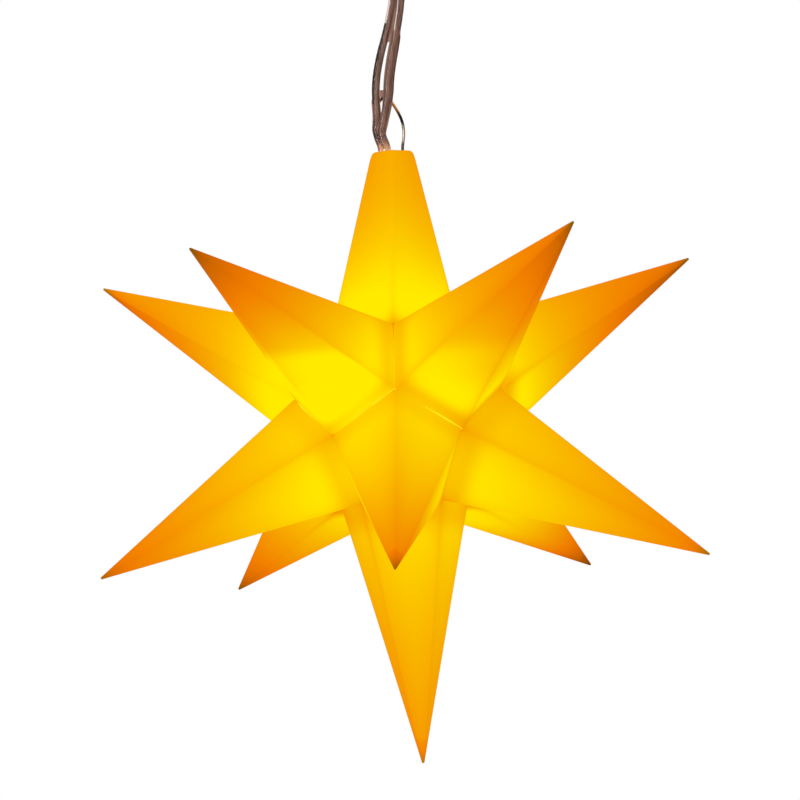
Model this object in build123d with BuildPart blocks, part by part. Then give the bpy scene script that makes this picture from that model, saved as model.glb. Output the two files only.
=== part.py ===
from build123d import *
import os
from math import atan, cos, degrees, radians, sin, tan

# A lit hanging star: twelve hollow five-sided points on a lamp insert with a short lead and plug.
# Millimetres, +Z up. The origin is the middle of the plug's mating face. The star hangs below it
# with its axis on Z, and its front faces -Y.

# Star points
sides = 5
star_reach = 65.0          # star centre to the sharp apex of a point
valley_edge = 14.58        # edge along which two neighbouring points meet
point_wall = 0.8
tip_blunting = 0.9         # a moulded tip stops this far short of the sharp apex
hollow_tip_apothem = 0.25  # where the hollow of a point ends, near its tip
ridge_radius = 0.6         # rounding of a point's ridges at its base
tip_ridge_radius = 0.08    # rounding of a point's ridges at its tip

# How far the tips stand from their true places, because the points are joined by hand. The points
# that aren't named stand true.
tip_leans = {
    "point_top": (1.4, 0, 0.7),
    "point_upper_front_right": (-0.2, 0, 0.9),
    "point_upper_front_left": (0, 0, -0.4),
    "point_upper_right": (0.6, 0, -0.4),
    "point_upper_left": (-1.1, 0, -0.6),
    "point_lower_front": (0, 0, -1.1),
    "point_lower_right": (0.6, 0, 0),
    "point_lower_left": (-0.2, 0, 0.9),
    "point_lower_back_right": (0.2, 0, 1.1),
    "point_lower_back_left": (-0.9, 0, -0.4),
    "point_bottom": (1.3, 0, 0.2),
}

# Joining flanges and the rivets through them
seam_gap = 0.15            # open slit between two flanges
flange_depth = 4.0         # how far a flange reaches in from the valley
flange_wall = 0.8
rivet_radius = 0.55
rivet_hole_clearance = 0.05
rivet_head_radius = 1.1
rivet_head_height = 0.5
rivet_crown_radius = 0.7   # flat on top of a rivet's head
rivet_depth = 2.3          # rivet axis to the valley

# Lid that closes the cut top point
roof_apothem = 3.35        # roof centre to the middle of a roof edge
lid_thickness = 1.6
roof_corner_radius = 1.4   # rounding of the roof's corners, seen from above
lid_edge_radius = 1.0
lid_plug_depth = 2.0       # spigot that centres the lid in the point's open end
lid_plug_clearance = 0.1

# Wire loop that leans back in the lid
wire_radius = 0.27
loop_clearance = 0.1
pivot_clearance = 0.05
pivot_y = 0.7              # behind the lead
pivot_depth = 0.6          # pivot axis below the roof
loop_lean = 30.0           # degrees the loop can lean back
leg_spread = 1.85          # leg of the loop to the middle of the lid
leg_rise = 0.9             # straight stretch of the legs above the roof
foot_reach = 1.35          # length of the feet that turn in the lid
saddle_half = 1.15         # half the bridge between the two leg slots
arch = [                   # bends of the loop from right to left: x and height above the roof
    (2.3, 3.3),
    (2.1, 5.6),
    (1.25, 7.7),
    (0.1, 9.6),
    (-0.8, 10.8),
    (-2.1, 9.6),
    (-3.1, 7.2),
    (-3.35, 4.9),
    (-2.8, 2.7),
]

# Two-core lead
core_radius = 0.73
core_clearance = 0.03      # core in the slot through the lid
core_pitch = 1.5           # between the two cores where they lie side by side
lead_exit_x = -1.42        # middle of the lead's slot in the lid
lead_exit_y = -1.08
lead_exit_turn = 48.5      # degrees by which the slot is turned, with the right core to the front
lead_rise = 40.0           # roof to the plug's boot

# Plug at the upper end of the lead
plug_length = 12.0
plug_width = 8.0
plug_depth = 5.4
plug_corner = 1.6
grip_grooves = 3
grip_groove_height = 0.8
grip_groove_depth = 0.4
grip_groove_width = 5.0
grip_pitch = 2.0
pin_radius = 0.5
pin_length = 7.0
pin_root = 4.0             # length of a pin's thicker root inside the plug
pin_root_radius = 0.7
pin_pitch = 3.5
pin_bore_clearance = 0.02
pin_tip_radius = 0.3
boot_length = 8.0
boot_top_width = 6.4
boot_top_depth = 4.4
boot_top_corner = 1.8
boot_end_width = 3.7
boot_end_depth = 2.2
boot_end_corner = 1.0

# Lamp on the lid's axis, with its heights counted from the level of the star's centre
led_flange_height = 2.4    # lower side of the flange
led_flange_thickness = 1.0
led_flange_radius = 1.9
led_radius = 1.5
led_body_length = 3.6      # straight part of the lens below the flange
led_tip_flat = 0.1         # radius of the small flat at the end of the dome
led_lead_size = 0.5
led_lead_pitch = 2.54
sleeve_clearance = 0.05
sleeve_wall = 0.4
sleeve_length = 28.0
lamp_wire_x = 0.95         # lamp wires and leads to the axis, inside the sleeve
wire_straight = 2.5        # lamp wire below the lid before it bends to the axis
wire_bend_rise = 7.0       # height over which a lamp wire comes to the axis
conductor_radius = 0.3
conductor_length = 2.4     # bare end of a lamp wire inside its ferrule
ferrule_radius = 0.68
ferrule_bore = 0.38
ferrule_length = 4.6
led_lead_length = 8.6      # flange to the end of a lead, inside its ferrule
lead_bend_start = 1.5
lead_bend_rise = 2.0
resistor_radius = 0.9
resistor_waist = 0.75
resistor_length = 3.2
resistor_cap = 0.8         # length of the thicker ends
resistor_lead_radius = 0.22
resistor_lead_length = 4.4

cut_margin = 1.0           # how far a cutting shape reaches past the face it opens
bend_share = 0.45          # share of a run that the arc at one of its ends may take
angle_tolerance = 1.0      # degrees, to tell neighbouring points from the others

# Angles and heights that follow from the regular dodecahedron under the points
half_side = 180 / sides
neighbour_angle = degrees(atan(2))
seam_slope = radians(neighbour_angle / 2)
valley_apothem = valley_edge / (2 * tan(radians(half_side)))
face_height = valley_apothem / tan(seam_slope)
valley_distance = face_height / cos(seam_slope)
side_slope = atan(valley_apothem / (star_reach - face_height))


def side_apothem(height, inset=0.0):
    """Point axis to its sloping sides at a height, or to a surface inset from them."""
    return (star_reach - height) * tan(side_slope) - inset / cos(side_slope)


def seam_apothem(height, inset):
    """Point axis to a plane that lies inset from the middle of the seam."""
    return height * tan(seam_slope) - inset / cos(seam_slope)


def base_height(side_inset, seam_inset):
    """Height at which a point's sides meet its flanges."""
    reach = star_reach * tan(side_slope) - side_inset / cos(side_slope) + seam_inset / cos(seam_slope)
    return reach / (tan(seam_slope) + tan(side_slope))


outer_base = base_height(0, seam_gap / 2)
inner_base = base_height(point_wall, seam_gap / 2 + flange_wall)


def lean_share(height):
    """Share of a point's lean at a height: none at its base and all of it at the sharp apex."""
    return max(0, (height - inner_base) / (star_reach - inner_base))


roof_height = star_reach - roof_apothem / tan(side_slope)
seat_height = roof_height - lid_thickness
roof_shift = Vector(*tip_leans["point_top"]) * lean_share(roof_height)
roof_z = -(plug_length + boot_length + lead_rise)
star_centre = Vector(0, 0, roof_z - roof_height) - roof_shift
lamp_origin = Vector(0, 0, star_centre.Z)
roof_level = roof_z - lamp_origin.Z
boot_end_z = -(plug_length + boot_length)


def point_axis(azimuth, elevation):
    """Direction of a point: azimuth 0 is the front and grows to the right."""
    turn = radians(azimuth)
    rise = radians(elevation)
    return Vector(cos(rise) * sin(turn), -cos(rise) * cos(turn), sin(rise))


ring_elevation = 90 - neighbour_angle
point_axes = {
    "point_top": point_axis(0, 90),
    "point_upper_front_right": point_axis(half_side, ring_elevation),
    "point_upper_front_left": point_axis(-half_side, ring_elevation),
    "point_upper_right": point_axis(3 * half_side, ring_elevation),
    "point_upper_left": point_axis(-3 * half_side, ring_elevation),
    "point_upper_back": point_axis(5 * half_side, ring_elevation),
    "point_lower_front": point_axis(0, -ring_elevation),
    "point_lower_right": point_axis(2 * half_side, -ring_elevation),
    "point_lower_left": point_axis(-2 * half_side, -ring_elevation),
    "point_lower_back_right": point_axis(4 * half_side, -ring_elevation),
    "point_lower_back_left": point_axis(-4 * half_side, -ring_elevation),
    "point_bottom": point_axis(0, -90),
}


def is_neighbour(axis, other):
    """Whether two points share a seam."""
    return abs(axis.get_angle(other) - neighbour_angle) < angle_tolerance


def neighbours(axis):
    """The directions of the five points around a point."""
    return [other for other in point_axes.values() if is_neighbour(axis, other)]


def point_plane(axis):
    """Plane at the star's centre, square to a point, with X towards one of its neighbours."""
    other = neighbours(axis)[0]
    return Plane(origin=star_centre, x_dir=other - axis * axis.dot(other), z_dir=axis)


def section_plane(name, height):
    """Plane square to a point at a height, moved aside with the point's lean."""
    plane = point_plane(point_axes[name])
    shift = Vector(*tip_leans.get(name, (0, 0, 0))) * lean_share(height)
    return Plane(plane.origin + plane.z_dir * height + shift, x_dir=plane.x_dir, z_dir=plane.z_dir)


def seam_plane(axis, other):
    """Plane in the middle of a seam at its rivet, with Z towards the first point."""
    middle = (axis + other).normalized()
    rivet_place = star_centre + middle * (valley_distance - rivet_depth)
    return Plane(origin=rivet_place, x_dir=middle, z_dir=axis - other)


def bend_radii(route):
    """The largest arc that each corner of a route has room for."""
    radii = []
    for before, corner, after in zip(route, route[1:], route[2:]):
        run_in = Vector(corner) - Vector(before)
        run_out = Vector(after) - Vector(corner)
        turn = radians(run_in.get_angle(run_out))
        radii.append(bend_share * min(run_in.length, run_out.length) / tan(turn / 2))
    return radii


def round_rod(route, radius):
    """A round rod, wire or core along straight runs joined by tangent arcs."""
    with BuildPart() as rod:
        with BuildLine() as path:
            FilletPolyline(*route, radius=bend_radii(route))
        with BuildSketch(Plane(origin=path.line @ 0, z_dir=path.line % 0)):
            Circle(radius)
        sweep()
    return rod.part


def cylinder_between(x, low, high, radius):
    """An upright round rod beside the lamp's axis, between two of the lamp's heights."""
    with BuildPart() as rod:
        with BuildSketch(Plane(lamp_origin + Vector(x, 0, low))):
            Circle(radius)
        extrude(amount=high - low)
    return rod.part


def save(part, name):
    """Label a finished piece and write it under its own name."""
    part.label = name
    export_step(part, f"parts/{name}.step")


os.makedirs("parts", exist_ok=True)

# Star points: hollow pyramids whose flanges lie along the seams to their neighbours
flange_end = outer_base - flange_depth * cos(seam_slope)
closed_tip = star_reach - tip_blunting
hollow_tip = star_reach - (hollow_tip_apothem + point_wall / cos(side_slope)) / tan(side_slope)


def star_point(name, tip, tip_rounding, hollow_end):
    """One moulded point, from the inner end of its flanges to its tip or its open end."""
    axis = point_axes[name]
    flange_rounding = ridge_radius * flange_end / outer_base
    hollow_start = flange_end - cut_margin
    inner_inset = seam_gap / 2 + flange_wall
    outer_flange = (
        (flange_end, seam_apothem(flange_end, seam_gap / 2), flange_rounding),
        (outer_base, side_apothem(outer_base), ridge_radius),
    )
    outer_sides = (
        (outer_base, side_apothem(outer_base), ridge_radius),
        (tip, side_apothem(tip), tip_rounding),
    )
    inner_flange = (
        (hollow_start, seam_apothem(hollow_start, inner_inset), 0),
        (inner_base, side_apothem(inner_base, point_wall), 0),
    )
    inner_sides = (
        (inner_base, side_apothem(inner_base, point_wall), 0),
        (hollow_end, side_apothem(hollow_end, point_wall), 0),
    )
    with BuildPart() as point:
        for sections, mode in (
            (outer_flange, Mode.ADD),
            (outer_sides, Mode.ADD),
            (inner_flange, Mode.SUBTRACT),
            (inner_sides, Mode.SUBTRACT),
        ):
            for height, apothem, rounding in sections:
                with BuildSketch(section_plane(name, height)) as section:
                    RegularPolygon(apothem, sides, major_radius=False, rotation=half_side)
                    if rounding:
                        fillet(section.vertices(), rounding)
            loft(ruled=True, mode=mode)
        for other in neighbours(axis):
            with BuildSketch(seam_plane(axis, other)):
                Circle(rivet_radius + rivet_hole_clearance)
            extrude(amount=flange_wall + seam_gap, mode=Mode.SUBTRACT)
    return point.part


for name in point_axes:
    if name == "point_top":
        save(star_point(name, seat_height, ridge_radius, seat_height + cut_margin), name)
    else:
        save(star_point(name, closed_tip, tip_ridge_radius, hollow_tip), name)

# Rivets: one through the two flanges of every seam
grip_half = flange_wall + seam_gap / 2
with BuildPart() as rivet:
    with BuildSketch(Plane.XZ):
        with BuildLine():
            Polyline(
                (0, -grip_half - rivet_head_height),
                (rivet_crown_radius, -grip_half - rivet_head_height),
                (rivet_head_radius, -grip_half),
                (rivet_radius, -grip_half),
                (rivet_radius, grip_half),
                (rivet_head_radius, grip_half),
                (rivet_crown_radius, grip_half + rivet_head_height),
                (0, grip_half + rivet_head_height),
                close=True,
            )
        make_face()
    revolve(axis=Axis.Z)

axes = list(point_axes.values())
seams = [
    seam_plane(axis, other)
    for index, axis in enumerate(axes)
    for other in axes[index + 1:]
    if is_neighbour(axis, other)
]
with BuildPart() as seam_rivets:
    with Locations(*[seam.location for seam in seams]):
        add(rivet.part)
save(seam_rivets.part, "seam_rivets")

# Lid: the roof of the top point, with a spigot, a slot for the lead and the seats of the wire loop
roof_plane = Plane((0, 0, roof_z))
exit_plane = Plane((lead_exit_x, lead_exit_y, roof_z)).rotated((0, 0, -lead_exit_turn))
core_exits = [exit_plane.from_local_coords((side * core_pitch / 2, 0, 0)) for side in (-1, 1)]
pivot_z = roof_z - pivot_depth
slot_outer = leg_spread + wire_radius + loop_clearance
slot_front = wire_radius + loop_clearance
lean = radians(loop_lean)
slot_back = pivot_depth * tan(lean) + wire_radius / cos(lean) + loop_clearance
slot_depth = pivot_depth + wire_radius + loop_clearance
with BuildPart() as roof_lid:
    for height, rounding in ((seat_height, ridge_radius), (roof_height, roof_corner_radius)):
        with BuildSketch(section_plane("point_top", height)) as lid_section:
            RegularPolygon(side_apothem(height), sides, major_radius=False, rotation=half_side)
            fillet(lid_section.vertices(), rounding)
    loft(ruled=True)
    fillet(roof_lid.faces().sort_by(Axis.Z)[-1].edges(), lid_edge_radius)
    with BuildSketch(section_plane("point_top", seat_height)):
        spigot_apothem = side_apothem(seat_height, point_wall) - lid_plug_clearance
        RegularPolygon(spigot_apothem, sides, major_radius=False, rotation=half_side)
    extrude(amount=-lid_plug_depth)
    with BuildSketch(exit_plane):
        SlotCenterToCenter(core_pitch, 2 * (core_radius + core_clearance))
    extrude(amount=-lid_thickness - lid_plug_depth - cut_margin, mode=Mode.SUBTRACT)
    with BuildSketch(roof_plane):
        for side in (-1, 1):
            with Locations((side * (saddle_half + slot_outer) / 2, pivot_y + (slot_back - slot_front) / 2)):
                Rectangle(slot_outer - saddle_half, slot_back + slot_front)
    extrude(amount=-slot_depth, mode=Mode.SUBTRACT)
    with BuildSketch(Plane((0, pivot_y, pivot_z), x_dir=(0, 1, 0), z_dir=(1, 0, 0))):
        Circle(wire_radius + pivot_clearance)
    extrude(amount=saddle_half, both=True, mode=Mode.SUBTRACT)
save(roof_lid.part, "roof_lid")

# Wire loop: two feet that turn in the lid, two legs and an uneven arch
loop_outline = [
    (leg_spread - foot_reach, -pivot_depth),
    (leg_spread, -pivot_depth),
    (leg_spread, leg_rise),
    *arch,
    (-leg_spread, leg_rise),
    (-leg_spread, -pivot_depth),
    (foot_reach - leg_spread, -pivot_depth),
]
loop_route = [(x, pivot_y, roof_z + z) for x, z in loop_outline]
save(round_rod(loop_route, wire_radius), "hanging_loop")

# Lead: two cores that leave the lid apart, come together and run side by side into the boot.
# Each point is x, y and the height above the roof.
left_bends = [
    (-2.87, -0.50, 3.4),
    (-2.43, -0.45, 6.4),
    (-2.62, -0.45, 9.8),
    (-2.43, -0.45, 13.6),
    (-1.46, -0.50, 18.0),
    (0.02, -0.50, 22.6),
    (1.48, -0.50, 28.4),
    (1.40, -0.36, 31.4),
    (0.10, -0.12, 34.4),
]
right_bends = [
    (-1.98, -1.72, 3.4),
    (-1.15, -1.62, 6.4),
    (-0.34, -1.30, 9.8),
    (-0.09, -0.95, 13.6),
    (0.75, -0.65, 18.0),
    (1.91, -0.50, 22.6),
    (2.98, -0.50, 28.4),
    (2.98, -0.36, 31.8),
    (1.72, -0.12, 34.8),
]
lead_start_straight = 1.0
lead_end_straight = 2.6


def lead_core(name, side, exit_place, bends):
    """One core of the lead, straight out of the lid and straight into the boot."""
    end_x = side * core_pitch / 2
    route = [(exit_place.X, exit_place.Y, 0), (exit_place.X, exit_place.Y, lead_start_straight)]
    route += bends
    route += [(end_x, 0, lead_rise - lead_end_straight), (end_x, 0, lead_rise)]
    route = [(x, y, roof_z + z) for x, y, z in route]
    core = round_rod(route, core_radius)
    print(name, "bend radii", [round(radius, 1) for radius in bend_radii(route)])
    save(core, name)


lead_core("lead_core_left", -1, core_exits[0], left_bends)
lead_core("lead_core_right", 1, core_exits[1], right_bends)

# Plug: a gripped body with two pins, and a boot that tapers down to the lead
with BuildPart() as plug_body:
    with BuildSketch(Plane.XY):
        RectangleRounded(plug_width, plug_depth, plug_corner)
    extrude(amount=-plug_length)
    for side in (-1, 1):
        grip_middle = (0, side * plug_depth / 2, -plug_length / 2)
        with BuildSketch(Plane(grip_middle, x_dir=(1, 0, 0), z_dir=(0, side, 0))):
            with GridLocations(0, grip_pitch, 1, grip_grooves):
                Rectangle(grip_groove_width, grip_groove_height)
        extrude(amount=-grip_groove_depth, mode=Mode.SUBTRACT)
    with BuildSketch(Plane.XY):
        with GridLocations(pin_pitch, 0, 2, 1):
            Circle(pin_root_radius + pin_bore_clearance)
    extrude(amount=-pin_root, mode=Mode.SUBTRACT)
save(plug_body.part, "plug_body")

with BuildPart() as plug_pins:
    with BuildSketch(Plane.XY):
        with GridLocations(pin_pitch, 0, 2, 1):
            Circle(pin_root_radius)
    extrude(amount=-pin_root)
    with BuildSketch(Plane.XY):
        with GridLocations(pin_pitch, 0, 2, 1):
            Circle(pin_radius)
    extrude(amount=pin_length)
    fillet(plug_pins.edges().group_by(Axis.Z)[-1], pin_tip_radius)
save(plug_pins.part, "plug_pins")

with BuildPart() as plug_boot:
    with BuildSketch(Plane.XY.offset(-plug_length)):
        RectangleRounded(boot_top_width, boot_top_depth, boot_top_corner)
    with BuildSketch(Plane.XY.offset(boot_end_z)):
        RectangleRounded(boot_end_width, boot_end_depth, boot_end_corner)
    loft()
save(plug_boot.part, "plug_boot")

# Lamp: a clear-domed LED facing down near the star's centre, in a sleeve on the two lamp wires
flange_top = led_flange_height + led_flange_thickness
dome_start = led_flange_height - led_body_length
dome_radius = led_radius - led_tip_flat
dome_end = dome_start - dome_radius
with BuildPart() as led_lens:
    with BuildSketch(Plane(lamp_origin, x_dir=(1, 0, 0), z_dir=(0, -1, 0))):
        with BuildLine():
            Polyline(
                (led_tip_flat, dome_end),
                (0, dome_end),
                (0, flange_top),
                (led_flange_radius, flange_top),
                (led_flange_radius, led_flange_height),
                (led_radius, led_flange_height),
                (led_radius, dome_start),
            )
            RadiusArc((led_radius, dome_start), (led_tip_flat, dome_end), dome_radius)
        make_face()
    revolve(axis=Axis.Z)
save(led_lens.part, "led_lens")

with BuildPart() as lamp_sleeve:
    with BuildSketch(Plane(lamp_origin + Vector(0, 0, led_flange_height))):
        Circle(led_flange_radius + sleeve_clearance + sleeve_wall)
        Circle(led_flange_radius + sleeve_clearance, mode=Mode.SUBTRACT)
    extrude(amount=sleeve_length)
save(lamp_sleeve.part, "lamp_sleeve")

# Both LED leads bend in to the lamp wires. On the left a resistor stands between them.
lead_top = flange_top + led_lead_length
with BuildPart() as led_leads:
    for side in (-1, 1):
        with BuildLine() as lead_path:
            lead_route = [
                (side * led_lead_pitch / 2, 0, flange_top),
                (side * led_lead_pitch / 2, 0, flange_top + lead_bend_start),
                (side * lamp_wire_x, 0, flange_top + lead_bend_start + lead_bend_rise),
                (side * lamp_wire_x, 0, lead_top),
            ]
            lead_route = [lamp_origin + Vector(place) for place in lead_route]
            FilletPolyline(*lead_route, radius=bend_radii(lead_route))
        with BuildSketch(Plane(lead_route[0])):
            Rectangle(led_lead_size, led_lead_size)
        sweep()
save(led_leads.part, "led_leads")

lower_lead_end = lead_top
resistor_low = lower_lead_end + resistor_lead_length
resistor_high = resistor_low + resistor_length
left_joint = resistor_high + resistor_lead_length
right_joint = lead_top
resistor_plane = Plane(lamp_origin + Vector(-lamp_wire_x, 0, 0), x_dir=(1, 0, 0), z_dir=(0, -1, 0))
with BuildPart() as series_resistor:
    with BuildSketch(resistor_plane):
        with BuildLine():
            Polyline(
                (0, resistor_low),
                (resistor_radius, resistor_low),
                (resistor_radius, resistor_low + resistor_cap),
                (resistor_waist, resistor_low + resistor_radius + resistor_cap - resistor_waist),
                (resistor_waist, resistor_high - resistor_radius - resistor_cap + resistor_waist),
                (resistor_radius, resistor_high - resistor_cap),
                (resistor_radius, resistor_high),
                (0, resistor_high),
                close=True,
            )
        make_face()
    revolve(axis=Axis(resistor_plane.origin, (0, 0, 1)))
save(series_resistor.part, "series_resistor")

with BuildPart() as resistor_leads:
    add(cylinder_between(-lamp_wire_x, lower_lead_end, resistor_low, resistor_lead_radius))
    add(cylinder_between(-lamp_wire_x, resistor_high, left_joint, resistor_lead_radius))
save(resistor_leads.part, "resistor_leads")

with BuildPart() as wire_conductors:
    for side, joint in ((-1, left_joint), (1, right_joint)):
        add(cylinder_between(side * lamp_wire_x, joint, joint + conductor_length, conductor_radius))
save(wire_conductors.part, "wire_conductors")

with BuildPart() as crimp_ferrules:
    ferrule_places = (
        (-lamp_wire_x, lower_lead_end - ferrule_length / 2),
        (-lamp_wire_x, left_joint + conductor_length - ferrule_length),
        (lamp_wire_x, right_joint + conductor_length - ferrule_length),
    )
    for x, low in ferrule_places:
        with BuildSketch(Plane(lamp_origin + Vector(x, 0, low))):
            Circle(ferrule_radius)
            Circle(ferrule_bore, mode=Mode.SUBTRACT)
        extrude(amount=ferrule_length)
save(crimp_ferrules.part, "crimp_ferrules")

wire_bend_top = roof_level - lid_thickness - lid_plug_depth - wire_straight
for name, side, exit_place, joint in (
    ("lamp_wire_left", -1, core_exits[0], left_joint),
    ("lamp_wire_right", 1, core_exits[1], right_joint),
):
    wire_route = [
        (exit_place.X, exit_place.Y, roof_level),
        (exit_place.X, exit_place.Y, wire_bend_top),
        (side * lamp_wire_x, 0, wire_bend_top - wire_bend_rise),
        (side * lamp_wire_x, 0, joint + conductor_length),
    ]
    save(round_rod([lamp_origin + Vector(place) for place in wire_route], core_radius), name)
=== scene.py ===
"""Looks of the lit hanging star: its glow, its clear lead, its metals, and a plain pale set around it."""
from math import atan, cos, hypot, pi, radians, sin, tan

import bmesh
import bpy
from mathutils import Euler, Matrix, Vector


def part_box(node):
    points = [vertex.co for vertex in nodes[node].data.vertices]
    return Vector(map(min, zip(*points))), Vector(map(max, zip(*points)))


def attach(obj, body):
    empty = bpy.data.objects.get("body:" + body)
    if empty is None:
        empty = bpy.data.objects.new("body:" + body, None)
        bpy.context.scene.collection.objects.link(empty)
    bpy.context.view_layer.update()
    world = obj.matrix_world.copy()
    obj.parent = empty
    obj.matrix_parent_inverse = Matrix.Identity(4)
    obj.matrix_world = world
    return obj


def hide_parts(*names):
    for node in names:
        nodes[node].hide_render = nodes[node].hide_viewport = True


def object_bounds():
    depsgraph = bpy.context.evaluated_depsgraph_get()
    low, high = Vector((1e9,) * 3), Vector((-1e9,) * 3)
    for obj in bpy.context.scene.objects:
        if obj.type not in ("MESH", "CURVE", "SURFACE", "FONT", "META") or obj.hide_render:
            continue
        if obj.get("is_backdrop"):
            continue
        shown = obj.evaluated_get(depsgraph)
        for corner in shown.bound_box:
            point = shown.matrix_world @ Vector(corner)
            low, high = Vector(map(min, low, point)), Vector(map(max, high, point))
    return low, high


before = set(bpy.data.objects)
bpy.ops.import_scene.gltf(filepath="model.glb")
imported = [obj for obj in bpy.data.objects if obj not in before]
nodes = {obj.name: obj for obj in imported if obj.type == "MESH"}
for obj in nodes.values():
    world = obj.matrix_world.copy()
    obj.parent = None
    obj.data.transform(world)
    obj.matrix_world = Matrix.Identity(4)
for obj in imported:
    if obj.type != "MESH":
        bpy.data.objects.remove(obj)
cad_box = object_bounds()
mm = 0.001

# The star's sizes in millimetres, as in the part's source
sides = 5
star_reach = 65.0
valley_edge = 14.58
half_side = pi / sides
neighbour_angle = atan(2)
valley_apothem = valley_edge / (2 * tan(half_side))
face_height = valley_apothem / tan(neighbour_angle / 2)
corner_distance = hypot(valley_apothem / cos(half_side), face_height)
side_slope = atan(valley_apothem / (star_reach - face_height))
side_length = (star_reach - face_height) / cos(side_slope)

# How far the tips stand from their true places, as in the part's source
tip_leans = {
    "point_top": (1.4, 0, 0.7),
    "point_upper_front_right": (-0.2, 0, 0.9),
    "point_upper_front_left": (0, 0, -0.4),
    "point_upper_right": (0.6, 0, -0.4),
    "point_upper_left": (-1.1, 0, -0.6),
    "point_lower_front": (0, 0, -1.1),
    "point_lower_right": (0.6, 0, 0),
    "point_lower_left": (-0.2, 0, 0.9),
    "point_lower_back_right": (0.2, 0, 1.1),
    "point_lower_back_left": (-0.9, 0, -0.4),
    "point_bottom": (1.3, 0, 0.2),
}

# Places that the frame gives, in metres
star_centre = sum(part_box("seam_rivets"), Vector()) / 2
roof_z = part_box("roof_lid")[1].z

# How each point glows: its azimuth and elevation, the light at its base, its fading towards the tip and
# the bend of that fading, which are exponents, and how much of the light goes to the faces that look
# down and to the right.
point_glow = {
    "point_top": (0, 90, 0.38, -3.3, 2.2, 0.2, 0.0),
    "point_upper_front_right": (36, 26.565, -0.05, -2.65, 0.5, 0.5, -0.2),
    "point_upper_front_left": (-36, 26.565, 0.15, -2.7, 0.0, 0.75, 0.1),
    "point_upper_right": (108, 26.565, 0.05, -3.1, 0.8, 0.25, 0.0),
    "point_upper_left": (-108, 26.565, 0.25, -3.1, 1.2, 0.2, 0.0),
    "point_upper_back": (180, 26.565, 0.1, -2.6, 0.45, 0.3, 0.0),
    "point_lower_front": (0, -26.565, -0.27, -0.5, -1.05, 0.15, -0.05),
    "point_lower_right": (72, -26.565, -0.32, -0.55, -0.8, 0.4, 0.0),
    "point_lower_left": (-72, -26.565, -0.2, -0.95, -0.85, 0.35, 0.0),
    "point_lower_back_right": (144, -26.565, -0.4, 1.15, -3.5, 0.1, 0.0),
    "point_lower_back_left": (-144, -26.565, -0.05, -0.65, -1.2, -0.2, 0.35),
    "point_bottom": (0, -90, -0.33, -1.05, 0.15, 0.3, 0.1),
}

# What the points share at each level of the star: how much light is lost to the left and right, how
# much of the downward light is lost on the way to the tip, the shaded band along the valleys with its
# depth and its width in millimetres, the depth of the shade on the ridges, and the depth of the painted
# shade in the spot where three points meet
level_glow = {
    "top": (0.38, 0.0, 0.5, 1.6, 0.05, 0.25),
    "upper": (0.0, 0.9, 0.42, 3.5, 0.08, 0.09),
    "lower": (0.0, 0.4, 0.25, 4.2, 0.13, 0.09),
    "bottom": (0.2, 0.0, 0.22, 4.5, 0.13, 0.09),
}


def point_axis(name):
    """Direction of a point: azimuth 0 is the front and grows to the right."""
    azimuth, elevation = (radians(angle) for angle in point_glow[name][:2])
    return Vector((cos(elevation) * sin(azimuth), -cos(elevation) * cos(azimuth), sin(elevation)))


class Nodes:
    """Short calls for the nodes of a material or of the surround."""

    def __init__(self, tree):
        self.tree = tree

    def node(self, kind, inputs=(), **settings):
        """A new node with its settings, and its inputs given as values or as other nodes' outputs."""
        made = self.tree.nodes.new("ShaderNode" + kind)
        for name, value in settings.items():
            setattr(made, name, value)
        for socket, value in dict(inputs).items():
            self.feed(made.inputs[socket], value)
        return made

    def feed(self, socket, value):
        """Link an output to a socket, or set the socket to a plain value."""
        if isinstance(value, bpy.types.NodeSocket):
            self.tree.links.new(value, socket)
        else:
            socket.default_value = value

    def calc(self, operation, *values):
        """One step of arithmetic."""
        return self.node("Math", enumerate(values), operation=operation).outputs[0]

    def rise(self, value, start, end, low=0.0, high=1.0):
        """A soft step from low to high as a value goes from start to end."""
        made = self.node("MapRange", interpolation_type="SMOOTHSTEP")
        for socket, given in zip(("Value", "From Min", "From Max", "To Min", "To Max"),
                                 (value, start, end, low, high)):
            self.feed(made.inputs[socket], given)
        return made.outputs["Result"]

    def ramp(self, value, *stops, interpolation="LINEAR"):
        """Colours that follow a value, as pairs of place and colour."""
        made = self.node("ValToRGB", {"Fac": value})
        made.color_ramp.interpolation = interpolation
        while len(made.color_ramp.elements) < len(stops):
            made.color_ramp.elements.new(1.0)
        for element, (at, colour) in zip(made.color_ramp.elements, stops):
            element.position = at
            element.color = (*colour, 1)
        return made.outputs["Color"]


noise_span = (0.3, 0.7)    # most values of a noise lie between these


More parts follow.
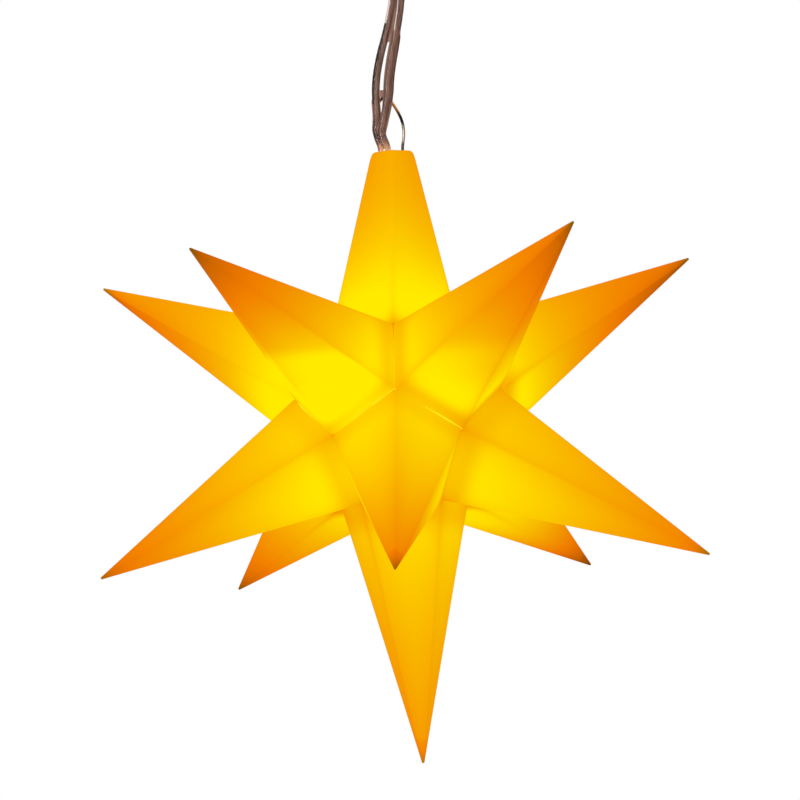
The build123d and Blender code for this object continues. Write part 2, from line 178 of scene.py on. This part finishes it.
class Shader(Nodes):
    """A material with one Principled shader and the nodes that feed it."""

    def __init__(self, name, **values):
        self.material = bpy.data.materials.new(name)
        self.material.use_nodes = True
        super().__init__(self.material.node_tree)
        self.principled = self.tree.nodes["Principled BSDF"]
        for socket, value in values.items():
            self.principled.inputs[socket.replace("_", " ")].default_value = value

    def drive(self, name, output):
        """Let an output drive one of the shader's own sockets."""
        self.tree.links.new(output, self.principled.inputs[name])

    def place(self, scale=(1, 1, 1), location=(0, 0, 0), rotation=(0, 0, 0)):
        """The place on the part, scaled, turned and moved."""
        coordinates = self.node("TexCoord").outputs["Object"]
        settings = {"Vector": coordinates, "Scale": scale, "Location": location, "Rotation": rotation}
        return self.node("Mapping", settings).outputs["Vector"]

    def height(self):
        """Height in the part's frame, in millimetres."""
        return self.node("SeparateXYZ", {"Vector": self.place((1 / mm,) * 3)}).outputs["Z"]

    def noise(self, scale, detail=2.0, stretch=(1, 1, 1)):
        """Smooth random values from 0 to 1, at a scale per metre."""
        inputs = {"Vector": self.place(stretch), "Scale": scale, "Detail": detail}
        return self.node("TexNoise", inputs).outputs["Fac"]

    def mottle(self, noise, first, second, span=noise_span):
        """A base colour that wanders between two colours with a noise."""
        low, high = span
        self.drive("Base Color", self.ramp(noise, (low, first), (high, second)))

    def polish(self, noise, smooth, rough):
        """A roughness that wanders between two values with a noise."""
        self.drive("Roughness", self.rise(noise, *noise_span, smooth, rough))

    def bump(self, height, depth, strength=1.0):
        """Relief of a depth in metres."""
        made = self.node("Bump", {"Height": height, "Distance": depth, "Strength": strength})
        self.drive("Normal", made.outputs["Normal"])


# Painted glow of the star's plastic, standing in for the lamp's light through its wall, with distances in
# millimetres
plastic_tint = (0.10, 0.03, 0.0)
band_tilt = 0.2            # the band is deeper on faces that look down
band_softness = 2.3
band_share = {"point_upper_left": 0.4}     # a point with a fainter band
corner_round = 5.1         # the band turns round into the ridges near the base
corner_climb = 4.7
ridge_reach = 2.6
spot_reach = 4.0
corner_shade_depth = 0.12           # painted shade, darkest in the middle of the spots on the lower points and the bottom one
corner_shade_reach = 1.0
flange_shade = 0.97        # a little less light comes out of the seams
flange_reach = 1.2
solid_tip = 0.89           # where the hollow ends, and the solid tip lets less light through
tip_edge = 0.015           # half of the way over which the hollow ends
tip_step = 0.08
tip_depth = 0.2
# Points whose solid tip is darker
dark_tips = ("point_lower_front", "point_lower_back_right", "point_bottom")
dark_tip_step = 0.2
dark_tip_depth = 0.4
tip_end = 0.925            # from here to the very tip red light is lost, down to these shares
tip_red = 0.45
front_tip_red = 0.8
patch_gain = {             # a painted patch of the lamp's light on faces that look down, which ends at one height
    "point_upper_front_left": 0.3,
    "point_upper_front_right": 0.13,
}
patch_start = 4.8          # heights above the star's middle
patch_top = 9.1
patch_end = 11.7
patch_facing = -0.5        # how far down a face has to look to have all of the patch
ridge_softness = 0.5       # how far the faces of a point shade into each other round its ridges
brightest = 0.8
bright_bend = 0.2
mottling = 0.05
cloud_scale = 70           # per metre
grain_scale = 900
grain_depth = 0.02
grain_strength = 0.3
red_gain = 5.0             # red rises with green up to a bend and then more slowly
red_level = 0.735
red_climb = 0.25
red_bend = 0.3


def star_plastic(name):
    """Translucent plastic of one point, with the lamp's light painted on it as a glow from its base to its
    tip.
    """
    _, _, light, fade, fade_bend, downward, rightward = point_glow[name]
    level = next(part for part in name.split("_") if part in level_glow)
    side_loss, downward_loss, band_depth, band_width, ridge_depth, spot_depth = level_glow[level]
    axis = point_axis(name)
    other = min((point_axis(n) for n in point_glow if n != name), key=lambda n: n.angle(axis))
    toward = (other - axis * axis.dot(other)).normalized()
    to_point = Matrix((toward, axis.cross(toward), axis))
    shader = Shader("star_plastic_" + name, Base_Color=(*plastic_tint, 1), Roughness=0.5,
                    Specular_IOR_Level=0.0, Emission_Strength=1.0)
    calc = shader.calc
    place = shader.place(scale=(1 / mm,) * 3, rotation=to_point.to_euler(),
                         location=to_point @ star_centre * (-1 / mm))
    x, y, height = shader.node("SeparateXYZ", {"Vector": place}).outputs

    # Height up the point from 0 to 1, and distances to the valley and to the nearest ridge
    climb = calc("DIVIDE", calc("SUBTRACT", height, face_height), star_reach - face_height)
    climb = shader.node("Clamp", {"Value": climb}).outputs["Result"]
    valley = calc("MULTIPLY", climb, side_length)
    lean = to_point @ Vector(tip_leans.get(name, (0, 0, 0)))
    x = calc("MULTIPLY_ADD", climb, -lean.x, x)
    y = calc("MULTIPLY_ADD", climb, -lean.y, y)
    ring = calc("SQRT", calc("MULTIPLY_ADD", x, x, calc("MULTIPLY", y, y)))
    turn = calc("PINGPONG", calc("ARCTAN2", y, x), half_side)
    half_width = calc("MULTIPLY", calc("MULTIPLY", ring, calc("COSINE", turn)), tan(half_side))
    ridge = calc("SUBTRACT", half_width, calc("MULTIPLY", ring, calc("SINE", turn)))

    # How far the wall looks to the right and up, between the flat face and a round cone in its place
    normal = shader.node("TexCoord").outputs["Normal"]
    looks = []
    for along, face in enumerate(shader.node("SeparateXYZ", {"Vector": normal}).outputs):
        out = calc("MULTIPLY_ADD", x, to_point[0][along], calc("MULTIPLY", y, to_point[1][along]))
        cone = calc("MULTIPLY_ADD", calc("DIVIDE", out, ring), cos(side_slope), axis[along] * sin(side_slope))
        looks.append(calc("MULTIPLY_ADD", calc("SUBTRACT", cone, face), ridge_softness, face))
    right, _, upward = looks

    # Light that reaches the wall from inside
    facing = calc("MULTIPLY_ADD", climb, downward_loss, -downward)
    power = calc("MULTIPLY_ADD", climb, calc("MULTIPLY_ADD", climb, fade_bend, fade), light)
    power = calc("MULTIPLY_ADD", upward, facing, power)
    power = calc("MULTIPLY_ADD", right, calc("MULTIPLY_ADD", right, -side_loss, rightward), power)
    lit = calc("EXPONENT", power)
    # Painted patch of the lamp's light, which ends at one height
    if name in patch_gain:
        above = calc("SUBTRACT", shader.height(), star_centre.z / mm)
        patch = calc("MULTIPLY", shader.rise(above, patch_start, patch_top),
                     shader.rise(above, patch_top, patch_end, 1, 0))
        patch = calc("MULTIPLY", patch, shader.rise(upward, patch_facing, 0, 1, 0))
        lit = calc("MULTIPLY", lit, calc("MULTIPLY_ADD", patch, patch_gain[name], 1))
    step, depth = (dark_tip_step, dark_tip_depth) if name in dark_tips else (tip_step, tip_depth)
    lit = calc("MULTIPLY", lit, shader.rise(climb, solid_tip - tip_edge, solid_tip + tip_edge, 1, 1 - step))
    lit = calc("MULTIPLY", lit, shader.rise(climb, solid_tip, 1, 1, 1 - depth))
    lit = calc("MULTIPLY", lit, shader.rise(height, face_height - flange_reach, face_height, flange_shade))

    # Shade of the flanges, the corners and the ridges
    from_band = calc("SUBTRACT", valley, band_width)
    from_ridge = calc("MULTIPLY_ADD", climb, corner_climb, ridge)
    open_wall = shader.rise(calc("SMOOTH_MIN", from_band, from_ridge, corner_round),
                            -band_softness, band_softness)
    band = calc("MULTIPLY_ADD", upward, -band_tilt, band_depth)
    band = calc("MULTIPLY", band, band_share.get(name, 1))
    shade = calc("SUBTRACT", 1, calc("MULTIPLY", band, calc("SUBTRACT", 1, open_wall)))
    ridge_line = calc("EXPONENT", calc("DIVIDE", ridge, -ridge_reach))
    shade = calc("MULTIPLY_ADD", ridge_line, -ridge_depth, shade)
    to_corner = calc("ADD", valley, ridge)
    spot = calc("EXPONENT", calc("DIVIDE", to_corner, -spot_reach))
    shade = calc("MULTIPLY_ADD", spot, -spot_depth, shade)
    # Painted shade that deepens the corner spots on the lower points and the bottom one
    if level in ("lower", "bottom"):
        corner_shade = calc("EXPONENT", calc("DIVIDE", to_corner, -corner_shade_reach))
        shade = calc("MULTIPLY_ADD", corner_shade, -corner_shade_depth, shade)
    cloudy = calc("MULTIPLY_ADD", shader.noise(cloud_scale, 3), mottling, 1 - mottling / 2)
    green = calc("MULTIPLY", calc("MULTIPLY", lit, shade), cloudy)
    green = calc("SMOOTH_MIN", green, brightest, bright_bend)
    red = calc("SMOOTH_MIN", calc("MULTIPLY", green, red_gain),
               calc("MULTIPLY_ADD", green, red_climb, red_level), red_bend)
    red_left = front_tip_red if name == "point_lower_front" else tip_red
    red = calc("MULTIPLY", red, shader.rise(climb, tip_end, 1, 1, red_left))
    colour = shader.node("CombineColor", {"Red": red, "Green": green, "Blue": 0.0})
    shader.drive("Emission Color", colour.outputs["Color"])
    shader.bump(shader.noise(grain_scale, 3), grain_depth * mm, grain_strength)
    return shader.material


def dress(node, material):
    """Give a CAD node a material."""
    for place in nodes[node].material_slots:
        place.material = material


for name in point_glow:
    dress(name, star_plastic(name))
dress("roof_lid", nodes["point_top"].material_slots[0].material)

# Small parts of the glowing star
# Painted glow of the lamp's light on the seam rivets and the flange lips
seam_glow = Shader("seam_glow", Base_Color=(*plastic_tint, 1), Roughness=0.5, Specular_IOR_Level=0.0,
                   Emission_Strength=1.0)
seam_glow.drive("Emission Color", seam_glow.ramp(seam_glow.noise(500),
                                                 (0.35, (0.95, 0.68, 0.004)), (0.7, (0.97, 0.82, 0.012))))
dress("seam_rivets", seam_glow.material)

# Metals
metal = {"Metallic": 1.0}


def share_of_height(shader, node):
    """Height on a CAD node, from 0 at its lowest place to 1 at its highest."""
    low, high = (corner.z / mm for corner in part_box(node))
    return shader.calc("DIVIDE", shader.calc("SUBTRACT", shader.height(), low), high - low)


# The loop's brass has painted highlights and painted dark reflections in bands up its height
brass = Shader("loop_brass", **metal)
painted_band_jitter = 0.12       # how unevenly the painted bands begin and end
painted_band_height = brass.calc("MULTIPLY_ADD", brass.noise(700, 3), painted_band_jitter,
                         share_of_height(brass, "hanging_loop"))
brass.drive("Base Color", brass.ramp(painted_band_height, (0.25, (0.15, 0.10, 0.08)), (0.33, (0.64, 0.48, 0.34)),
                                     (0.49, (0.66, 0.49, 0.34)), (0.58, (0.02, 0.012, 0.008)),
                                     (0.73, (0.03, 0.016, 0.008)), (0.82, (0.46, 0.18, 0.035)),
                                     (0.96, (0.40, 0.17, 0.04)), (1.0, (0.06, 0.03, 0.012))))
brass.polish(brass.noise(1500), 0.12, 0.28)
dress("hanging_loop", brass.material)

pin_brass = Shader("pin_brass", **metal)
pin_brass.mottle(pin_brass.noise(400, 4), (0.66, 0.46, 0.19), (0.80, 0.62, 0.32))
pin_brass.polish(pin_brass.noise(2500, 3, (1, 1, 12)), 0.2, 0.36)
dress("plug_pins", pin_brass.material)

tinned = Shader("tinned_steel", **metal)
tinned.mottle(tinned.noise(900, 4), (0.46, 0.46, 0.46), (0.64, 0.64, 0.63))
tinned.polish(tinned.noise(1800), 0.25, 0.45)
for name in ("led_leads", "resistor_leads", "crimp_ferrules"):
    dress(name, tinned.material)

copper = Shader("copper", **metal)
copper.mottle(copper.noise(800, 4), (0.30, 0.16, 0.11), (0.52, 0.31, 0.22))
copper.polish(copper.noise(1500), 0.3, 0.5)
dress("wire_conductors", copper.material)


def roof_light(shader, bright, reach):
    """Light from the lamp that comes up through the roof and is lost a few millimetres above it."""
    above_roof = shader.calc("SUBTRACT", shader.height(), roof_z / mm)
    return shader.ramp(shader.rise(above_roof, 0, reach), (0.0, bright), (1.0, (0, 0, 0)))


streaks = (1, 1, 0.06)     # stretches a noise along the lead
streak_span = (0.32, 0.68)
strand_copper = Shader("strand_copper", Emission_Strength=1.0, **metal)
strand_copper.mottle(strand_copper.noise(1500, 3, streaks), (0.19, 0.085, 0.055), (0.55, 0.33, 0.25),
                     streak_span)
strand_copper.polish(strand_copper.noise(600), 0.45, 0.6)
strand_copper.drive("Emission Color", roof_light(strand_copper, (0.32, 0.16, 0.07), 2.4))

# Clear plastics
clear = Shader("clear_insulation", Base_Color=(0.90, 0.77, 0.69, 1), Transmission_Weight=1.0, IOR=1.48,
               Specular_IOR_Level=0.15, Emission_Strength=1.0)
clear.drive("Emission Color", roof_light(clear, (0.18, 0.10, 0.05), 2.2))
clear.polish(clear.noise(500, 3, streaks), 0.03, 0.08)
clear_relief = 0.03
clear.bump(clear.noise(600, 2, streaks), clear_relief * mm, 0.2)

web_plastic = Shader("web_plastic", Transmission_Weight=0.2, IOR=1.48, Roughness=0.35, Specular_IOR_Level=0.2)
web_plastic.mottle(web_plastic.noise(900, 3, streaks), (0.21, 0.105, 0.075), (0.42, 0.245, 0.185))

# Painted shade for the strips that darken the clear cores along their edges
painted_shade_strip = Shader("painted_shade_strip", IOR=1.48, Roughness=0.5, Specular_IOR_Level=0.0)
painted_shade_strip.mottle(painted_shade_strip.noise(900, 3, streaks), (0.03, 0.014, 0.008), (0.11, 0.06, 0.04))

wire_plastic = Shader("wire_plastic", Transmission_Weight=0.35, IOR=1.48)
wire_plastic.mottle(wire_plastic.noise(1500, 3, streaks), (0.30, 0.18, 0.13), (0.72, 0.55, 0.46), streak_span)
wire_plastic.polish(wire_plastic.noise(500), 0.1, 0.2)
for name in ("lamp_wire_left", "lamp_wire_right"):
    dress(name, wire_plastic.material)

sleeve = Shader("sleeve_plastic", Base_Color=(0.97, 0.95, 0.90, 1), Transmission_Weight=0.9, IOR=1.45)
sleeve.polish(sleeve.noise(120), 0.08, 0.18)
dress("lamp_sleeve", sleeve.material)

plug_plastic = Shader("plug_plastic", Transmission_Weight=0.1, IOR=1.48)
plug_plastic.mottle(plug_plastic.noise(90), (0.82, 0.79, 0.74), (0.88, 0.86, 0.82))
plug_plastic.polish(plug_plastic.noise(300), 0.28, 0.38)
for name in ("plug_body", "plug_boot"):
    dress(name, plug_plastic.material)

# LED: clear epoxy that is brightest where its chip sits
epoxy = Shader("led_epoxy", Base_Color=(1.0, 0.96, 0.86, 1), Transmission_Weight=0.7, IOR=1.53,
               Roughness=0.08, Emission_Strength=1.0)
lens_share = share_of_height(epoxy, "led_lens")
epoxy.drive("Emission Color", epoxy.ramp(lens_share, (0.0, (1.0, 0.78, 0.30)), (0.4, (1.0, 0.90, 0.62)),
                                         (0.75, (0.75, 0.48, 0.14)), (1.0, (0.30, 0.17, 0.04))))
dress("led_lens", epoxy.material)

# Resistor: lacquer with four coloured rings
lacquer = Shader("resistor_body", Roughness=0.3, Coat_Weight=0.3)
beige = (0.56, 0.40, 0.22)
rings = ((0.10, (0.25, 0.06, 0.02)), (0.34, (0.02, 0.02, 0.02)), (0.52, (0.40, 0.10, 0.02)),
         (0.80, (0.50, 0.36, 0.08)))
ring_width = 0.1
stops = [(0.0, beige)]
for at, colour in rings:
    stops += [(at, colour), (at + ring_width, beige)]
body_share = share_of_height(lacquer, "series_resistor")
lacquer.drive("Base Color", lacquer.ramp(body_share, *stops, interpolation="CONSTANT"))
lacquer.polish(lacquer.noise(900), 0.22, 0.38)
dress("series_resistor", lacquer.material)

# Lead: two clear cores, each around a bundle of copper strands. Each point is x, y and the height
# above the roof, in millimetres.
core_radius = 0.73
lead_routes = {
    "left": [
        (-1.917, -0.518, 0.0), (-1.917, -0.518, 1.0), (-2.87, -0.50, 3.4), (-2.43, -0.45, 6.4),
        (-2.62, -0.45, 9.8), (-2.43, -0.45, 13.6), (-1.46, -0.50, 18.0), (0.02, -0.50, 22.6),
        (1.48, -0.50, 28.4), (1.40, -0.36, 31.4), (0.10, -0.12, 34.4), (-0.75, 0.0, 37.4),
        (-0.75, 0.0, 40.0),
    ],
    "right": [
        (-0.923, -1.642, 0.0), (-0.923, -1.642, 1.0), (-1.98, -1.72, 3.4), (-1.15, -1.62, 6.4),
        (-0.34, -1.30, 9.8), (-0.09, -0.95, 13.6), (0.75, -0.65, 18.0), (1.91, -0.50, 22.6),
        (2.98, -0.50, 28.4), (2.98, -0.36, 31.8), (1.72, -0.12, 34.8), (0.75, 0.0, 37.4),
        (0.75, 0.0, 40.0),
    ],
}
strand_radius = 0.1
strand_ring = 0.21
strand_count = 6
strand_lay = 6.0           # length over which the strands go once round
lead_rise = 40.0           # roof to the plug's boot
webs = {                   # heights above the roof between which the cores are still bonded
    "lead_web": (20.5, lead_rise),
    "lead_bridge": (10.2, 11.5),
}
web_thickness = 0.45
web_sink = 0.25            # how far the web reaches into each core
web_stations = 40
edge_step = 0.5            # height between the stations of a torn edge
core_steps = 12            # of a core's curve between two points of its route
core_facets = 6
strand_facets = 2
curve_order = 3

# Thin edges that the cores keep where they were torn apart, and dark strips of painted shade along the cores'
# edges: the core, the material, the thickness, and then stations with the height above the roof and the reach
# to the left and right of the core's middle
torn_edges = {
    "torn_edge_left": ("left", web_plastic, 0.24, (
        (0.4, 0.5, 0.4), (2.0, 0.6, 0.6), (4.5, 0.9, 1.0), (7.0, 0.9, 0.8), (9.4, 0.9, 0.5),
        (11.0, 0.6, 0.5))),
    "torn_edge_right": ("right", web_plastic, 0.24, (
        (0.4, 0.6, 0.3), (2.5, 0.6, 0.6), (4.5, 1.0, 1.0), (7.2, 0.7, 1.0), (9.4, 0.9, 1.0),
        (20.4, 1.0, 1.0), (22.6, 0.7, 0.7))),
    "dark_edge_left": ("left", painted_shade_strip, 0.5, (
        (9.0, 0.7, -0.3), (11.0, 0.76, -0.12), (20.0, 0.76, -0.12), (24.0, 0.5, -0.3))),
    "dark_edge_right": ("right", painted_shade_strip, 0.3, (
        (9.0, -0.7, 0.8), (11.0, -0.8, 1.04), (19.0, -0.8, 1.04), (21.5, -0.7, 0.9))),
    "dark_twist_left": ("left", painted_shade_strip, 0.5, (
        (0.4, -0.3, 0.55), (1.4, 0.0, 0.25), (2.2, 0.3, -0.05), (3.6, 0.65, -0.4), (6.0, 0.7, -0.5))),
}


def add_object(name, data, material):
    """A new piece of the part, with its material."""
    piece = bpy.data.objects.new(name, data)
    bpy.context.scene.collection.objects.link(piece)
    data.materials.append(material)
    return piece


def nurbs_curve(name, points, radius):
    """A smooth round curve with the points of a route as its control points."""
    curve = bpy.data.curves.new(name, "CURVE")
    curve.dimensions = "3D"
    curve.resolution_u = core_steps
    curve.bevel_depth = radius
    curve.bevel_resolution = core_facets
    curve.use_fill_caps = radius > 0
    spline = curve.splines.new("NURBS")
    spline.points.add(len(points) - 1)
    for control, point in zip(spline.points, points):
        control.co = (*point, 1)
    spline.order_u = curve_order
    spline.use_endpoint_u = True
    return curve


def line_of(points):
    """Points along the smooth curve of a route."""
    holder = bpy.data.objects.new("route_line", nurbs_curve("route_line", points, 0))
    bpy.context.scene.collection.objects.link(holder)
    mesh = bpy.data.meshes.new_from_object(holder.evaluated_get(bpy.context.evaluated_depsgraph_get()))
    line = [vertex.co.copy() for vertex in mesh.vertices]
    bpy.data.meshes.remove(mesh)
    bpy.data.curves.remove(holder.data)
    return line


def strand_curve(name, line):
    """Thin strands twisted round a middle one along a line that rises."""
    curve = bpy.data.curves.new(name, "CURVE")
    curve.dimensions = "3D"
    curve.bevel_depth = strand_radius * mm
    curve.bevel_resolution = strand_facets
    curve.use_fill_caps = True
    for strand in range(strand_count + 1):
        spline = curve.splines.new("POLY")
        spline.points.add(len(line) - 1)
        travelled = 0.0
        for index, control in enumerate(spline.points):
            before, after = line[max(index - 1, 0)], line[min(index + 1, len(line) - 1)]
            along = (after - before).normalized()
            travelled += (line[index] - before).length if index else 0.0
            out = Vector((0, 1, 0)).cross(along).normalized()
            angle = 2 * pi * (strand / strand_count + travelled / (strand_lay * mm))
            offset = Matrix.Rotation(angle, 3, along) @ out * strand_ring * mm
            control.co = (*(line[index] + (offset if strand else Vector())), 1)
    return curve


lead_lines = {}
for side, route in lead_routes.items():
    points = [Vector((x, y, z)) * mm + Vector((0, 0, roof_z)) for x, y, z in route]
    core = add_object("lead_" + side, nurbs_curve("lead_" + side, points, core_radius * mm),
                      clear.material)
    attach(core, "hanger")
    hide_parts("lead_core_" + side)
    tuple(points[0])
    lead_lines[side] = line_of(points)
    strands = add_object("strands_" + side, strand_curve("strands_" + side, lead_lines[side]),
                         strand_copper.material)
    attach(strands, "hanger")


def at_height(line, z):
    """The place where a rising line crosses a height."""
    for low, high in zip(line, line[1:]):
        if low.z <= z <= high.z and high.z > low.z:
            return low.lerp(high, (z - low.z) / (high.z - low.z))
    return line[-1]


def closed_strip(name, sections):
    """A closed mesh through a row of sections with the same number of corners."""
    mesh = bmesh.new()
    rows = [[mesh.verts.new(corner) for corner in section] for section in sections]
    count = len(rows[0])
    for row, after in zip(rows, rows[1:]):
        for corner in range(count):
            following = (corner + 1) % count
            mesh.faces.new((row[corner], row[following], after[following], after[corner]))
    mesh.faces.new(reversed(rows[0]))
    mesh.faces.new(rows[-1])
    bmesh.ops.recalc_face_normals(mesh, faces=mesh.faces)
    data = bpy.data.meshes.new(name)
    mesh.to_mesh(data)
    mesh.free()
    return data


def strip_section(left, right, thickness):
    """The corners of a flat strip between two places, with its thickness from front to back."""
    front = Vector((0, -thickness / 2 * mm, 0))
    return left + front, right + front, right - front, left - front


for name, (low, high) in webs.items():
    sections = []
    for station in range(web_stations + 1):
        z = roof_z + (low + (high - low) * station / web_stations) * mm
        left, right = (at_height(lead_lines[side], z) for side in ("left", "right"))
        inset = (right - left).normalized() * (core_radius - web_sink) * mm
        sections.append(strip_section(left + inset, right - inset, web_thickness))
    web = add_object(name, closed_strip(name, sections), web_plastic.material)
    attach(web, "hanger")

for name, (side, shader, thickness, stations) in torn_edges.items():
    sections = []
    for (low, left_low, right_low), (high, left_high, right_high) in zip(stations, stations[1:]):
        steps = max(2, round((high - low) / edge_step))
        for step in range(steps + (high == stations[-1][0])):
            share = step / steps
            middle = at_height(lead_lines[side], roof_z + (low + (high - low) * share) * mm)
            left = Vector((-(left_low + (left_high - left_low) * share) * mm, 0, 0))
            right = Vector(((right_low + (right_high - right_low) * share) * mm, 0, 0))
            sections.append(strip_section(middle + left, middle + right, thickness))
    edge = add_object(name, closed_strip(name, sections), shader.material)
    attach(edge, "hanger")

# Flange edges that stand a little out of three seams at the front, with a painted glow of the lamp's light on
# them.
# Each is its two points, the points at the seam's two ends, where it starts and ends along the
# seam, and how far it stands out at most.
front, upper_left, upper_right = "point_lower_front", "point_upper_front_left", "point_upper_front_right"
lower_left, lower_right, side_left = "point_lower_left", "point_lower_right", "point_upper_left"
lips = {
    "lip_upper_left": (front, upper_left, upper_right, lower_left, 0.0, 0.7, 0.4),
    "lip_upper_right": (front, upper_right, upper_left, lower_right, 0.45, 1.0, 0.3),
    "lip_side": (upper_left, lower_left, side_left, front, 0.1, 0.6, 0.3),
}
lip_thickness = 0.13
lip_flare = 1.5            # how much wider a lip is at its edge
lip_sink = 1.0
lip_stations = 24
lip_fullness = 0.8         # below 1 the lip rises more quickly at its ends


def seam_corner(*names):
    """The corner where three points meet."""
    return star_centre + sum((point_axis(n) for n in names), Vector()).normalized() * corner_distance * mm


for name, (first, second, near_end, far_end, start, end, height) in lips.items():
    near, far = seam_corner(first, second, near_end), seam_corner(first, second, far_end)
    out = (point_axis(first) + point_axis(second)).normalized()
    thick = out.cross(far - near).normalized() * lip_thickness / 2 * mm
    sections = []
    for station in range(lip_stations + 1):
        share = station / lip_stations
        swell = sin(pi * share) ** lip_fullness
        base = near.lerp(far, start + (end - start) * share)
        top = base + out * height * swell * mm
        low = base - out * lip_sink * mm
        wide = thick * (1 + lip_flare * swell)
        sections.append((low - thick, low + thick, top + wide, top - wide))
    lip = add_object(name, closed_strip(name, sections), seam_glow.material)
    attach(lip, "star")

# Softer edges on the plug
plug_edge = 0.25
plug_edge_steps = 3
for name in ("plug_body", "plug_boot"):
    bevel = nodes[name].modifiers.new("soft_edges", "BEVEL")
    bevel.width = plug_edge * mm
    bevel.segments = plug_edge_steps

# Set: a white surround that is darker at the sides, a pale floor well under the star, a soft key light
# and a tall narrow light that draws highlights along the lead
world = bpy.data.worlds.new("studio")
bpy.context.scene.world = world
world.use_nodes = True
sky = Nodes(world.node_tree)
direction = sky.node("TexCoord").outputs["Generated"]
to_right, to_back, to_top = sky.node("SeparateXYZ", {"Vector": direction}).outputs
way_right, way_back = 0.43, 0.9    # the level way along which the surround changes
top_start, top_end = 0.3, 0.6      # and the rise above which it is white all round
along = sky.calc("MULTIPLY_ADD", to_right, way_right, sky.calc("MULTIPLY", to_back, way_back))
white, dark = (1.0, 1.0, 1.0), (0.06, 0.06, 0.06)
around = sky.ramp(sky.calc("MULTIPLY_ADD", along, 0.5, 0.5), (0.22, white), (0.42, dark), (0.88, dark),
                  (0.94, white), interpolation="EASE")
surround = sky.calc("MAXIMUM", around, sky.rise(to_top, top_start, top_end))
backdrop = sky.node("LightPath").outputs["Is Camera Ray"]
sky.feed(world.node_tree.nodes["Background"].inputs["Color"], sky.calc("MAXIMUM", surround, backdrop))
bpy.context.scene.view_settings.view_transform = "Standard"

floor_drop = 0.12
floor_radius = 1.6
floor_corners = 96
bpy.ops.mesh.primitive_circle_add(vertices=floor_corners, radius=floor_radius, fill_type="NGON",
                                  location=(0, 0, cad_box[0].z - floor_drop))
floor = bpy.context.object
floor.name = "floor"
pale = Shader("pale_floor", Specular_IOR_Level=0.2, Roughness=0.7)
pale.mottle(pale.noise(3), (0.86, 0.86, 0.85), (0.89, 0.89, 0.88))
floor.data.materials.append(pale.material)
floor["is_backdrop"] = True

# Each light's shape, its two sizes in metres, its power and its place as seen from the star
lights = {
    "key": ("DISK", 0.5, 0.5, 2.0, (0.6, -0.7, 0.8)),
    "strip": ("RECTANGLE", 0.12, 1.0, 3.0, (-0.75, -0.65, 0.15)),
}
for name, (shape, width, height, power, place) in lights.items():
    light = bpy.data.lights.new(name, "AREA")
    light.shape = shape
    light.size = width
    light.size_y = height
    light.energy = power
    lamp = bpy.data.objects.new(name, light)
    bpy.context.scene.collection.objects.link(lamp)
    lamp.location = star_centre + Vector(place)
    lamp.rotation_euler = (-Vector(place)).to_track_quat("-Z", "Y").to_euler()

# Camera: the turn of the star's frame as the picture shows it, and the star's place in the picture
view_turn = (-3.79, -2.83, -2.07)
camera_distance = 832.5
camera_rise = 3.07
picture_lens = 202.84
right, forward, up = Euler([radians(angle) for angle in view_turn], "XYZ").to_matrix()
camera = bpy.data.objects.new("camera", bpy.data.cameras.new("camera"))
bpy.context.scene.collection.objects.link(camera)
camera.data.sensor_width = 36
camera.data.lens = picture_lens
camera.data.clip_start = 0.01
eye = star_centre - forward * camera_distance * mm + up * camera_rise * mm
camera.matrix_world = Matrix.Translation(eye) @ Matrix((right, up, -forward)).transposed().to_4x4()
bpy.context.scene.camera = camera

bpy.context.view_layer.update()
boxes = {"cad": cad_box, "visual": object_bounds()}
{name: [list(corner) for corner in box] for name, box in boxes.items()}
